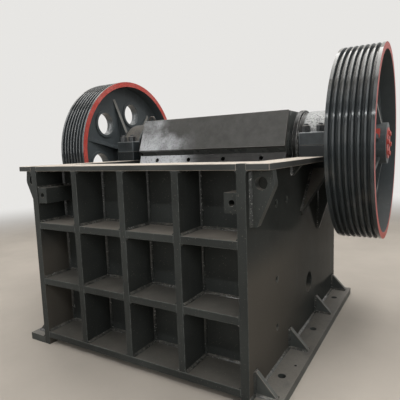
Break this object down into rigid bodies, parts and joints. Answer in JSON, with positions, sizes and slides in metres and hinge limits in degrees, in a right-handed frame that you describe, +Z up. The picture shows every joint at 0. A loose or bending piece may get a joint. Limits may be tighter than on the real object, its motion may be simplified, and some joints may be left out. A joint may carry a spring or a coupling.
{
  "type": "jaw crusher",
  "caption": "Low, wide jaw crusher: welded plate frame on bolted feet, swing jaw on an eccentric shaft, a grooved wheel at each end.",
  "frame": {"origin": "on the floor, in the middle of the machine's width and length", "axes": "+X across the machine towards the drive pulley, +Y from the ribbed front wall to the back, +Z up"},
  "size_m": [1.876, 1.46, 1.456],
  "materials": {
    "frame_paint": "satin dark grey paint, dusty on upward faces",
    "dusty_flange": "dark paint under pale dust",
    "jaw_paint": "satin dark grey paint",
    "bearing_iron": "dark paint, pale dust on top",
    "wheel_iron": "dark paint, turned grooves",
    "red_paint": "worn red paint",
    "bright_steel": "turned",
    "guard_steel": "rolled, rubbed bright at the left end",
    "liner_steel": "as cast"
  },
  "bodies": {
    "frame": {"front_wall": "frame_paint", "front_ribs": "frame_paint", "upper_shelf": "frame_paint", "lower_shelf": "frame_paint", "bottom_shelf": "frame_paint", "top_flange_front": "dusty_flange", "fixed_jaw_plate": "liner_steel", "rear_wall": "frame_paint", "rear_ribs": "frame_paint", "rear_shelves": "frame_paint", "adjusting_block": "frame_paint", "toggle_seat": "liner_steel", "toggle_plate": "liner_steel", "drilled_blocks": "frame_paint", "foot_gussets": "frame_paint", "seat_gussets": "frame_paint", "side_wall_left": "frame_paint", "side_wall_right": "frame_paint", "top_flange_left": "dusty_flange", "top_flange_right": "dusty_flange", "foot_left": "frame_paint", "foot_right": "frame_paint", "lifting_lugs_left": "frame_paint", "lifting_lugs_right": "frame_paint", "bearing_housing_left": "bearing_iron", "bearing_housing_right": "bearing_iron", "bearing_cap_left": "bearing_iron", "bearing_cap_right": "bearing_iron", "bearing_covers_left": "bearing_iron", "bearing_covers_right": "bearing_iron", "cheek_plate_left": "liner_steel", "cheek_plate_right": "liner_steel"},
    "rotor": {"eccentric_shaft": "bright_steel", "flywheel": "wheel_iron", "drive_pulley": "wheel_iron", "clamp_rings": "red_paint"},
    "jaw": {"swing_jaw": "jaw_paint", "jaw_ribs": "jaw_paint", "moving_jaw_plate": "liner_steel", "clamp_bar": "guard_steel", "guard_plate": "guard_steel", "jaw_toggle_seat": "liner_steel", "jaw_lifting_eye": "bright_steel"}
  },
  "joints": [
    {"name": "shaft_spin", "type": "hinge", "parent": "frame", "child": "rotor", "pos_m": [0, 0.245, 0.971], "axis": [1, 0, 0], "continuous": true},
    {"name": "jaw_orbit", "type": "hinge", "parent": "rotor", "child": "jaw", "pos_m": [0, 0.245, 0.983], "axis": [1, 0, 0], "continuous": true}
  ],
  "couplings": [
    {"joint": "jaw_orbit", "follows": "shaft_spin", "ratio": -1}
  ]
}
